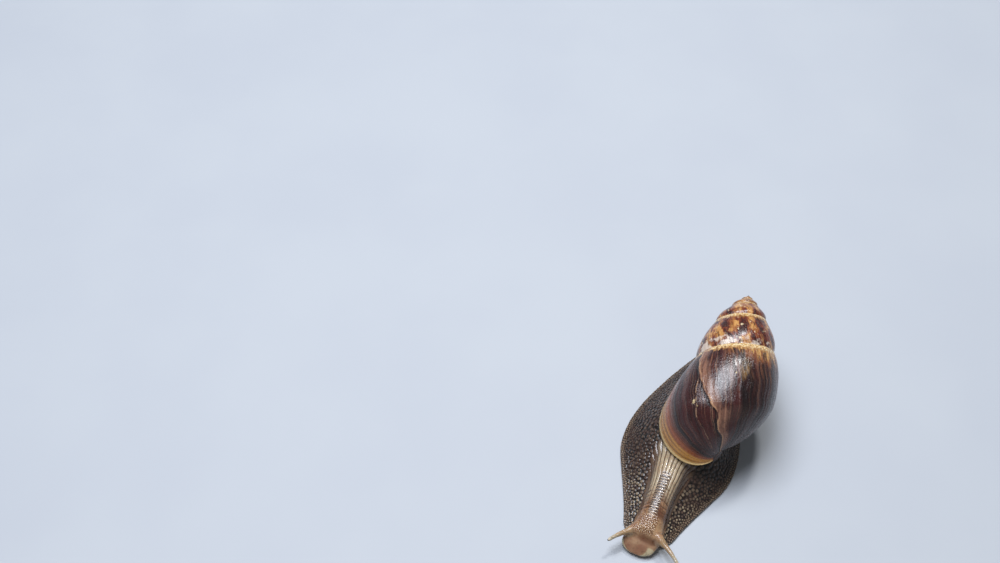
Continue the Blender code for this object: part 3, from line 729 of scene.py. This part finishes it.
place[:, 2] = np.where(sole, 0.0, np.maximum(place[:, 2], 0.0))
move_points(skin_mesh, (place + ORIGIN) * MM)
zones = {
    "near": near, "groove": groove, "tone": tone, "neck": neckness, "along": along, "margin": margin,
    "ridge": ridge, "ridge_zone": ridge_zone, "rung": rung, "rung_zone": rung_zone,
    "fold": fold + mouth, "valley": valley, "rows": rows, "around": np.abs(around - RUNG_MIDDLE),
    "shade_by_shell": 1 - bare, "mantle": by_shell * (1 - neckness),
    "lobe": lobe, "lobe_rim": lobe_rim, "brim": brim, "feeler": feeler, "crown": crown}
keep(skin_mesh, "POINT", zones)
print("skin relief, mm", height.min().round(2), height.max().round(2))

# %% [markdown]
# The flat sole and the flesh against the shell are never seen. Deleting them would open the skin, so
# the sole's faces are dissolved into large ones, and those against the shell are thinned out.

# %% Thin out what is hidden
HIDDEN = 0.7               # flesh nearer to the shell than this is out of sight
HIDDEN_KEPT = 0.2          # the share of its faces that stays
FACING_DOWN = -0.9999

only(skin)
select_faces(skin_mesh, (numbers(skin_mesh, "polygons", "normal")[:, 2] < FACING_DOWN)
             & (numbers(skin_mesh, "polygons", "center")[:, 2] / MM < 0.001))
bpy.ops.object.mode_set(mode="EDIT")
bpy.ops.mesh.select_mode(type="FACE")
bpy.ops.mesh.dissolve_limited(angle_limit=math.radians(0.2))
bpy.ops.object.mode_set(mode="OBJECT")
select_faces(skin.data, np.array([shell_tree.find_nearest(face.center, HIDDEN * MM)[3] is not None
                                  for face in skin.data.polygons]))
bpy.ops.object.mode_set(mode="EDIT")
bpy.ops.mesh.decimate(ratio=HIDDEN_KEPT)
bpy.ops.object.mode_set(mode="OBJECT")
skin.data.shade_smooth()
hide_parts(*FLESH)
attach(skin, "root")
print("skin triangles", sum(len(p.vertices) - 2 for p in skin.data.polygons),
      "size, mm", [round(v / MM, 1) for v in skin.dimensions])

# %% [markdown]
# ## The eyes
# Each eye is a small dark ball sunk in the rounded end of an upper feeler. It could be painted on
# the skin, but a ball catches the light as a real eye does, so a finer sphere, slightly narrowed,
# takes the place of the coarse solid.

# %% Eyes
EYE_SEGMENTS = 32
EYE_NARROWING = 0.98


def make_eye(side):
    low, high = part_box("eye_" + side)
    bpy.ops.object.select_all(action="DESELECT")
    bpy.ops.mesh.primitive_uv_sphere_add(segments=EYE_SEGMENTS, ring_count=EYE_SEGMENTS // 2,
                                         radius=(high.z - low.z) / 2, location=(low + high) / 2)
    eye = bpy.context.object
    eye.name = eye.data.name = "eye_of_the_snail_" + side
    bpy.ops.object.transform_apply(location=True, rotation=True, scale=True)
    bpy.ops.object.mode_set(mode="EDIT")
    bpy.ops.mesh.select_all(action="SELECT")
    bpy.ops.transform.resize(value=(EYE_NARROWING, 1.0, EYE_NARROWING), center_override=(low + high) / 2)
    bpy.ops.object.mode_set(mode="OBJECT")
    eye.data.shade_smooth()
    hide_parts("eye_" + side)
    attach(eye, "root")
    return eye


eyes = [make_eye(side) for side in ("left", "right")]
print("eyes", [eye.name for eye in eyes])

# %% [markdown]
# ## The shell's material
# The shell is layered aragonite under a thin brown horny coat. Both are laid down at the lip, so its
# colours come in bands and flames that follow the growth. It could be painted on an unwrap, but
# nodes that read the distances kept on the mesh stay sharp at any size. Each colour covers what is
# under it, like a glaze, where a mask passes from one value to another. The last turn is chestnut
# and purplish brown, with flames under the suture that thin out towards the break.

# %% Colours of the last turn
def linear(code):
    """An sRGB hex colour as the linear values that a shader takes."""
    values = [int(code[i:i + 2], 16) / 255 for i in (1, 3, 5)]
    return [v / 12.92 if v <= 0.04045 else ((v + 0.055) / 1.055) ** 2.4 for v in values] + [1.0]


def add(material, kind, inputs=(), out=0, **settings):
    """Adds a node and gives one of its outputs. An input is a value or the socket that feeds it."""
    node = material.node_tree.nodes.new(kind)
    for name, value in settings.items():
        setattr(node, name, value)
    for key, value in dict(inputs).items():
        if isinstance(value, bpy.types.NodeSocket):
            material.node_tree.links.new(value, node.inputs[key])
        else:
            node.inputs[key].default_value = value
    return node.outputs[out]


def new_material(name):
    material = bpy.data.materials.new(name)
    material.use_nodes = True
    return material


def glaze(material, under, *layers):
    """Lays colours over what is under. Each layer: colour, mask, where it begins and is full, most."""
    for colour, mask, low, high, *most in layers:
        cover = add(material, "ShaderNodeMapRange", {0: mask, 1: low, 2: high, 4: (most or [1.0])[0]},
                    interpolation_type="SMOOTHSTEP")
        under, colour = [linear(c) if isinstance(c, str) else c for c in (under, colour)]
        under = add(material, "ShaderNodeMix", {0: cover, 6: under, 7: colour}, 2, data_type="RGBA")
    return under


def masked(material, mask, low, high, other):
    """A mask from low to high, only where another value is high too."""
    part = add(material, "ShaderNodeMapRange", {0: mask, 1: low, 2: high},
               interpolation_type="SMOOTHSTEP")
    return add(material, "ShaderNodeMath", {0: part, 1: other}, operation="MULTIPLY")


horn = new_material("wet_horny_aragonite_shell")
GROWTH, BELOW, ROUND, SCAR_AT, CHIPPED, HALTED, GOLDEN = [
    add(horn, "ShaderNodeAttribute", out="Fac", attribute_name=name) for name in on_shell]
in_shell = add(horn, "ShaderNodeTexCoord", out="Object")


def streaks(seed, along_mm, down_mm, detail=3.0, rough=0.6):
    """Noise drawn out along the growth lines: so wide along the growth, so long down the turn."""
    across_turn = add(horn, "ShaderNodeMath", {0: GROWTH, 1: along_mm}, operation="DIVIDE")
    down_turn = add(horn, "ShaderNodeMath", {0: BELOW, 1: down_mm}, operation="DIVIDE")
    spot = add(horn, "ShaderNodeCombineXYZ", {0: across_turn, 1: down_turn, 2: seed})
    return add(horn, "ShaderNodeTexNoise", {"Vector": spot, "Scale": 1.0, "Detail": detail,
                                            "Roughness": rough})


older = add(horn, "ShaderNodeMapRange", {0: GROWTH, 1: 30.0, 2: 43.0, 3: 0.55, 4: 1.1})
flames = []
for full, gone, flame in ((2.0, 22.0, streaks(3.0, 3.4, 16.0)), (1.0, 20.0, streaks(12.0, 1.3, 10.0))):
    flame = masked(horn, BELOW, gone, full, flame)
    flames.append(add(horn, "ShaderNodeMath", {0: flame, 1: older}, operation="MULTIPLY"))
body = glaze(
    horn, "#170a0a",
    ("#3c1a19", streaks(1.0, 7.0, 60.0), 0.38, 0.60),
    ("#693c31", streaks(2.0, 1.9, 38.0), 0.54, 0.72, 0.65),
    ("#150a0b", streaks(4.0, 1.5, 36.0), 0.54, 0.68, 0.8),
    ("#85593f", masked(horn, BELOW, 36.0, 14.0, streaks(22.0, 0.9, 22.0)), 0.50, 0.68, 0.5),
    ("#7f4c2c", flames[0], 0.30, 0.46, 0.9),
    ("#c39558", flames[1], 0.37, 0.52, 0.9),
    ("#2a1110", streaks(13.0, 2.2, 8.0), 0.50, 0.62, 0.8),
    ("#8e6b3e", masked(horn, GOLDEN, 0.05, 0.9, streaks(23.0, 0.9, 5.0)), 0.34, 0.60, 0.6))
print("nodes for the last turn", len(horn.node_tree.nodes))

# %% [markdown]
# The spire is older: golden brown under dark red flames, with patches of a dull pale cream some 10 to
# 15 mm below each suture. A pale, torn and spotted seam, where each turn gripped the one before, hangs
# under the thin dark line of the suture. Both are further glazes, and the number of turns says where
# the spire begins.

# %% Colours of the spire and the sutures
PALE_PATCHES = 260.0         # to a metre, so one about every 4 mm

pale_patch_noise = add(horn, "ShaderNodeTexNoise", {"Vector": in_shell, "Scale": PALE_PATCHES, "Detail": 4.0})
flame = streaks(7.0, 4.4, 8.5)
spire = glaze(
    horn, "#8a5128",
    ("#c08d50", streaks(6.0, 3.4, 7.0), 0.40, 0.60),
    ("#6b2a1a", flame, 0.42, 0.52, 0.95),
    ("#2f1210", flame, 0.50, 0.60, 0.92),
    ("#260e0d", streaks(14.0, 1.6, 10.0), 0.56, 0.66, 0.7),
    ("#ddc9a2", streaks(8.0, 2.6, 3.6), 0.59, 0.68, 0.85),
    ("#d3c2b2", masked(horn, BELOW, 10.0, 15.5, pale_patch_noise), 0.47, 0.57, 0.85),
    ("#a0703f", ROUND, 2.3, 3.6, 0.7))
# The seam is at most 6.8 mm wide on the last turn and 3.4 mm on the spire.
seam_width = add(horn, "ShaderNodeMapRange", {0: ROUND, 1: 1.0, 2: 1.7, 3: 6.8, 4: 3.4})
torn = streaks(9.0, 1.5, 2.6)
torn = add(horn, "ShaderNodeMath", {0: torn, 1: seam_width}, operation="MULTIPLY")
torn = add(horn, "ShaderNodeMath", {0: BELOW, 1: torn}, operation="SUBTRACT")
pale_seam = glaze(horn, "#b98d50", ("#e9d6aa", streaks(15.0, 0.8, 0.9), 0.42, 0.60))
colour = glaze(
    horn, body,
    (spire, ROUND, 0.66, 1.02),
    ("#9a6d3c", torn, 0.7, -0.5, 0.9),
    (pale_seam, torn, -0.4, -1.4, 0.95),
    ("#3d1c10", BELOW, 0.18, 0.05, 0.9))
print("nodes with the spire", len(horn.node_tree.nodes))

# %% [markdown]
# New shell at the lip is thin and light: dark brown, then orange-brown, then golden, with fine darker
# lines. Further back are a pale broken line where growth once halted, a healed break with tan shell
# behind its dark edge, and small chips. Their masks are distances too, broken up by streaks.

# %% The lip, the halt and the healed break
behind = masked(horn, SCAR_AT, -9.0, -1.5, masked(horn, SCAR_AT, 0.05, -0.35, streaks(17.0, 1.5, 9.0)))
ahead = masked(horn, SCAR_AT, 2.6, 0.3, masked(horn, SCAR_AT, -0.15, 0.1, streaks(18.0, 3.0, 12.0)))
colour = glaze(
    horn, colour,
    ("#5f2c19", GROWTH, 10.2, 7.8, 0.9),
    ("#985026", GROWTH, 7.8, 5.8, 0.88),
    ("#bd863c", GROWTH, 5.2, 4.0, 0.95),
    ("#5a2d18", masked(horn, GROWTH, 7.6, 5.8, streaks(10.0, 0.45, 60.0, 1.0)), 0.48, 0.62, 0.85),
    ("#d9bb82", GROWTH, 1.3, 0.4, 0.9),
    ("#a88468", masked(horn, HALTED, 0.42, 0.10, streaks(16.0, 30.0, 2.4)), 0.36, 0.50, 0.75),
    ("#8d6450", behind, 0.14, 0.56, 0.75),
    ("#b58d68", masked(horn, SCAR_AT, -2.6, -0.6, behind), 0.38, 0.56, 0.7),
    ("#12080a", ahead, 0.20, 0.42, 0.85),
    ("#d9c294", CHIPPED, 1.0, 0.55, 0.85))
print("nodes with the lip and the break", len(horn.node_tree.nodes))

# %% [markdown]
# Fine growth lines cross the whole shell, with sparse dark pits. They are too fine for the mesh, so
# they are colour and bump. Aragonite has an IOR of about 1.53. The horny coat is smooth but smeared
# with slime, so its roughness varies from shiny to satin.

# %% Fine lines and gloss of the shell
SMEARS = 700.0             # to a metre, so one about every 1.5 mm
LINE_DEPTH = 0.0002        # metres


def fit_shader(material, patterns, values):
    """Joins the patterns to the shader, and sets on it what is the same all over."""
    shader = material.node_tree.nodes["Principled BSDF"]
    for socket, pattern in patterns.items():
        material.node_tree.links.new(pattern, shader.inputs[socket])
    for socket, value in values.items():
        shader.inputs[socket].default_value = value


fine_lines = streaks(11.0, 0.4, 50.0, 2.0)
colour = glaze(
    horn, colour,
    ("#120808", fine_lines, 0.52, 0.72, 0.55),
    ("#b48a6c", fine_lines, 0.42, 0.26, 0.38),
    ("#190c0b", masked(horn, GROWTH, 12.0, 22.0, streaks(24.0, 0.9, 0.9, 0.0)), 0.73, 0.78, 0.8))
smear = add(horn, "ShaderNodeTexNoise", {"Vector": in_shell, "Scale": SMEARS, "Detail": 3.0})
gloss = add(horn, "ShaderNodeMapRange", {0: smear, 1: 0.35, 2: 0.7, 3: 0.21, 4: 0.38})
ribs = add(horn, "ShaderNodeMath", {0: fine_lines, 1: streaks(5.0, 0.7, 1.2)}, operation="ADD")
bump = add(horn, "ShaderNodeBump", {"Height": ribs, "Distance": LINE_DEPTH, "Strength": 0.85})
fit_shader(horn, {"Base Color": colour, "Roughness": gloss, "Normal": bump},
           {"IOR": 1.53, "Coat Weight": 0.28, "Coat Roughness": 0.16})
shell.data.materials.append(horn)
print("shell material nodes", len(horn.node_tree.nodes))

# %% [markdown]
# ## The skin's material
# Snail skin is wet muscle under slime, and light goes a little way into it. The zones that shaped it
# say where each colour goes. On the foot and flanks the grooves are nearly black, and the knobs are
# beige buttons that darken towards the shell: painted shade of the shell's shadow.

# %% Colours of the foot
MOTTLES_MM = (5.0, 2.5, 1.6, 0.4)      # from large patches to pores
flesh = new_material("moist_snail_skin")
on_skin = {name: add(flesh, "ShaderNodeAttribute", out="Fac", attribute_name=name) for name in zones}
in_skin = add(flesh, "ShaderNodeTexCoord", out="Object")
patch, wet_patch, small_patch, pore = [
    add(flesh, "ShaderNodeTexNoise", {"Vector": in_skin, "Scale": 1 / (size_mm * MM), "Detail": 3.0,
                                      "Roughness": 0.55}) for size_mm in MOTTLES_MM]
out_of_groove = add(flesh, "ShaderNodeMapRange", {0: on_skin["groove"], 1: 0.02, 2: 0.25})
button_colour = glaze(
    flesh, "#54443a",
    ("#97876f", on_skin["tone"], -0.7, 1.0),
    # painted shade: the knobs darken towards the shell, as under its shadow
    ("#3c2921", on_skin["along"], 16.0, 40.0, 0.85))
edge_colour = glaze(flesh, "#231711", ("#86725f", on_skin["rows"], 0.1, 0.65))
foot_colour = glaze(
    flesh, "#160f0c",
    ("#2b1c15", patch, 0.4, 0.65),
    (button_colour, masked(flesh, on_skin["near"], 0.56, 0.30, out_of_groove), 0.1, 0.85),
    (edge_colour, on_skin["margin"], 2.9, 1.5, 0.95),
    ("#9a8f80", on_skin["brim"], 0.2, 0.9, 0.75),
    ("#43332a", on_skin["mantle"], 0.2, 1.0, 0.85))
print("nodes for the foot", len(flesh.node_tree.nodes))

# %% [markdown]
# The neck has cream ridges behind and warm brown folds in front, with rungs down its back. The folds
# and the mouth slit are darkened as painted shade, the neck's sides darken towards the foot as painted
# shade, and the pale rung tops are partly their own colour and partly a painted highlight. The head is
# tan with grains whose pale tops are painted highlights, painted shade in the valley and a browner
# lobe with a pale rim, and the feelers are the colour of horn. Next to the shell the flesh is darkened
# as a painted shadow. Neck and head change over a few millimetres, as on the animal.

# %% Colours of the neck and head
ridged = glaze(
    flesh, "#4a3727",
    ("#ae9d82", on_skin["ridge"], 0.15, 0.8),
    ("#826b51", patch, 0.46, 0.66, 0.6))
# the pale rung tops are partly their own colour and partly a painted highlight of wet glints
bar = glaze(flesh, "#33201a", ("#b5a088", on_skin["rung"], 0.30, 0.85))
neck_colour = glaze(
    flesh, "#5f3d2b",
    ("#8d674a", patch, 0.35, 0.62),
    ("#4c3023", on_skin["near"], 0.42, 0.66, 0.55),
    (ridged, on_skin["ridge_zone"], 0.0, 1.15),
    # painted shade: the neck darkens round its sides towards the foot
    ("#422b20", on_skin["around"], 4.6, 8.6, 0.85),
    # painted shade in the folds and the mouth slit
    ("#3a2217", on_skin["fold"], 0.15, 0.85, 0.85),
    (bar, on_skin["rung_zone"], 0.2, 0.8, 0.9))
lobe_colour = glaze(flesh, "#845e49", ("#a08061", patch, 0.22, 0.78))
feeler_colour = glaze(flesh, "#967a5a", ("#aa9d84", on_skin["feeler"], 0.4, 0.95))
head_colour = glaze(
    flesh, "#84624a",
    ("#a28160", patch, 0.35, 0.62),
    ("#5f3d28", masked(flesh, on_skin["near"], 0.34, 0.62, on_skin["crown"]), 0.1, 0.9, 0.7),
    # painted highlight: the tops of the crown's grains are pale like wet glints
    ("#d8c8b2", masked(flesh, on_skin["near"], 0.34, 0.1, on_skin["crown"]), 0.3, 0.95, 0.7),
    (lobe_colour, on_skin["lobe"], 0.1, 0.9),
    # painted shade in the valley between the feelers, darker towards one feeler
    ("#55301f", on_skin["valley"], 0.2, 1.0, 0.75),
    ("#b6ab8b", on_skin["lobe_rim"], 0.1, 1.0, 0.85),
    (feeler_colour, on_skin["feeler"], 0.03, 0.22))
front_colour = glaze(flesh, head_colour, (neck_colour, on_skin["along"], 8.0, 15.0))
skin_colour = glaze(
    flesh, foot_colour,
    (front_colour, on_skin["neck"], 0.0, 1.0),
    # painted shadow: the flesh next to the shell is darkened
    ("#2a1b14", on_skin["shade_by_shell"], 0.3, 1.0, 0.8),
    ("#22150f", small_patch, 0.52, 0.76, 0.35))
print("nodes with the neck and head", len(flesh.node_tree.nodes))

# %% [markdown]
# Slime gives small sharp lights, most on the crown and least on the lobe and the foot. Wet flesh has
# an IOR of about 1.4, the coat is the slime, and a little subsurface light keeps the thin feelers
# from looking like clay.

# %% Slime and pores of the skin
PORE_DEPTH = 0.00012       # metres

slick = add(flesh, "ShaderNodeMapRange", {0: wet_patch, 1: 0.35, 2: 0.7, 3: 0.16, 4: 0.36})
for zone, low, high, change, way in (("lobe", 0.2, 1.0, 0.14, "ADD"), ("crown", 0.2, 1.0, 0.1, "SUBTRACT"),
                                     ("neck", 1.0, 0.0, 0.1, "ADD")):
    there = masked(flesh, on_skin[zone], low, high, change)
    slick = add(flesh, "ShaderNodeMath", {0: slick, 1: there}, operation=way)
pores = add(flesh, "ShaderNodeBump", {"Height": pore, "Distance": PORE_DEPTH, "Strength": 0.7})
fit_shader(flesh, {"Base Color": skin_colour, "Roughness": slick, "Normal": pores},
           {"IOR": 1.4, "Coat Weight": 0.4, "Coat Roughness": 0.1, "Subsurface Weight": 0.10,
            "Subsurface Radius": (1.0, 0.45, 0.25), "Subsurface Scale": 0.0008})
skin.data.materials.clear()
skin.data.materials.append(flesh)
print("skin material nodes", len(flesh.node_tree.nodes))

# %% [markdown]
# ## The eye's material
# The eye is a dark wet ball under a clear skin, so what shows is a bright sharp light: a low
# roughness, the IOR of a cornea (1.38) and a clear coat. A faint cloud keeps it from a flat black.

# %% Eye material
EYE_CLOUDS = 4000.0        # to a metre, so one every quarter of a millimetre
glassy = new_material("wet_dark_eye")
in_eye = add(glassy, "ShaderNodeTexCoord", out="Object")
cloud = add(glassy, "ShaderNodeTexNoise", {"Vector": in_eye, "Scale": EYE_CLOUDS, "Detail": 2.0})
fit_shader(glassy, {"Base Color": glaze(glassy, "#0b0807", ("#241812", cloud, 0.3, 0.7))},
           {"Roughness": 0.12, "IOR": 1.38, "Coat Weight": 0.8, "Coat Roughness": 0.05})
for eye in eyes:
    eye.data.materials.append(glassy)
print("eye material nodes", len(glassy.node_tree.nodes))

# %% [markdown]
# ## Floor, light and camera
# The snail crawls on a plain, pale, matt floor: one large plane with a very faint mottling. The lamps
# stand near the snail, so the far floor would end in a dark band under the sky. A studio lights its
# backdrop apart, but here the far floor gives off a little light itself.

# %% Floor
FLOOR_SIZE = 40.0                # metres, as are the next two
GLOW_FROM, GLOW_TO = 0.8, 4.0    # where the floor's own light begins, and where it is full
GLOW = 0.108                     # brings the far floor up to the brightness of the sky
SKY = "#dfe6ee"

bpy.ops.object.select_all(action="DESELECT")
bpy.ops.mesh.primitive_plane_add(size=FLOOR_SIZE, location=(0, 0, 0))
floor = bpy.context.object
floor.name = "floor"
ground = new_material("matt_pale_floor")
on_floor = add(ground, "ShaderNodeTexCoord", out="Object")
faint = add(ground, "ShaderNodeTexNoise", {"Vector": on_floor, "Scale": 12.0, "Detail": 3.0})
far_off = add(ground, "ShaderNodeVectorMath", {0: on_floor}, out="Value", operation="LENGTH")
glow = add(ground, "ShaderNodeMapRange", {0: far_off, 1: GLOW_FROM, 2: GLOW_TO, 4: GLOW},
           interpolation_type="SMOOTHSTEP")
fit_shader(ground, {"Base Color": glaze(ground, "#a6abb2", ("#a9aeb4", faint, 0.3, 0.7)),
                    "Emission Strength": glow}, {"Emission Color": linear(SKY), "Roughness": 0.6})
floor.data.materials.append(ground)
print("floor, m", FLOOR_SIZE, "its own light from", GLOW_FROM, "to", GLOW_TO)

# %% [markdown]
# Three square lamps: a broad one overhead like an open sky, a small one a little behind for the wet
# glints on the neck, and a weak fill in front. A faint even sky lights what they miss. The Standard
# view keeps the colours as they were chosen.

# %% Lights
SKY_STRENGTH = 0.18
AIM = Vector((0, 0, 0.02))       # the middle of the snail, in metres

bpy.context.scene.view_settings.view_transform = "Standard"
world = bpy.data.worlds.new("soft_sky")
bpy.context.scene.world = world
world.use_nodes = True
world.node_tree.nodes["Background"].inputs["Color"].default_value = linear(SKY)
world.node_tree.nodes["Background"].inputs["Strength"].default_value = SKY_STRENGTH


def soft_light(name, place, size, watts, tint):
    """A square soft light that faces the snail."""
    lamp = bpy.data.lights.new(name, "AREA")
    lamp.size = size
    lamp.energy = watts
    lamp.color = linear(tint)[:3]
    holder = new_object(name, lamp)
    holder.location = place
    holder.rotation_euler = (AIM - Vector(place)).to_track_quat("-Z", "Y").to_euler()
    print("light", name, "at", place, "m,", watts, "W")


soft_light("sky_overhead", (-0.50, 0.16, 1.62), 0.90, 38.0, "#f2f6ff")
soft_light("glint_behind", (-0.02, 0.55, 0.95), 0.12, 4.0, "#ffffff")
soft_light("fill_front", (0.7, -0.7, 0.6), 0.8, 0.9, "#fff4e6")

# %% [markdown]
# The camera looks down at the snail from in front, like someone bending over it. The snail lies low
# on the right of the view, so the camera isn't aimed at it: its place and angles are set.

# %% Camera
CAMERA_PLACE = np.array([22.08, -191.69, 416.0])      # in the body's own axes, mm
CAMERA_TILT, CAMERA_TURN = 38.0, 24.0                 # degrees up from straight down, and round
LENS, SENSOR = 38.6, 36.0                             # mm: a view 50 degrees wide

camera_data = bpy.data.cameras.new("camera")
camera_data.lens = LENS
camera_data.sensor_width = SENSOR
camera_data.clip_start = 0.01
camera = new_object("camera", camera_data)
camera.location = Vector((CAMERA_PLACE + ORIGIN) * MM)
camera.rotation_euler = (math.radians(CAMERA_TILT), 0.0, math.radians(CAMERA_TURN))
bpy.context.scene.camera = camera
print("camera", tuple(round(v, 4) for v in camera.location))

# %% [markdown]
# Last, the view layer is brought up to date.

# %% Finish
bpy.context.view_layer.update()
